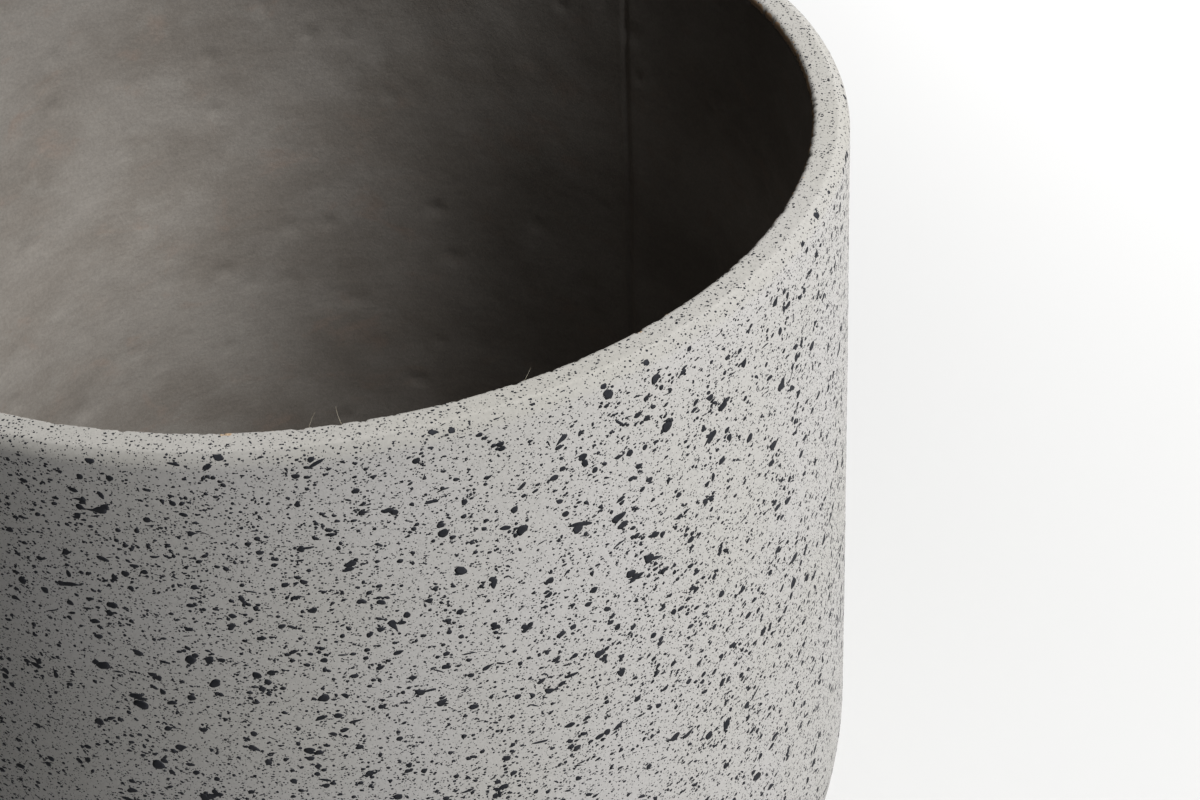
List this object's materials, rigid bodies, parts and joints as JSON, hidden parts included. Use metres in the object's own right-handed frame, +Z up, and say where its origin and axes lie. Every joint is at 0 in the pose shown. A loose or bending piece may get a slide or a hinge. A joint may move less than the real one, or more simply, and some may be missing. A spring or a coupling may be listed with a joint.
{
  "type": "planter pot",
  "caption": "Round straight-walled fibre-cement planter with a rounded heel, speckled coat, lift-out drain stopper and rubber foot pads.",
  "frame": {"origin": "on the floor under the middle of the pot, in the plane of the foot pads' undersides", "axes": "+Z up along the pot's axis, -Y the front that faces the viewer, +X to the viewer's right"},
  "size_m": [0.36, 0.36, 0.34],
  "materials": {
    "speckled_coat": "matte",
    "spatter_paint": "satin",
    "raw_cement": "matte",
    "glass_fibre": "matte",
    "black_rubber": "matte",
    "pad_rubber": "matte"
  },
  "bodies": {
    "pot": {"face_coat": "speckled_coat", "fibre_mat_wall": "glass_fibre", "fibre_mat_base": "glass_fibre", "cement_shell": "raw_cement", "foot_pad_front_right": "pad_rubber", "foot_pad_rear_right": "pad_rubber", "foot_pad_rear_left": "pad_rubber", "foot_pad_front_left": "pad_rubber"},
    "stopper": {"drain_plug": "black_rubber"}
  },
  "joints": [
    {"name": "stopper_lift", "type": "slide", "parent": "pot", "child": "stopper", "axis": [0, 0, 1], "range_m": [0, 0.336]}
  ]
}
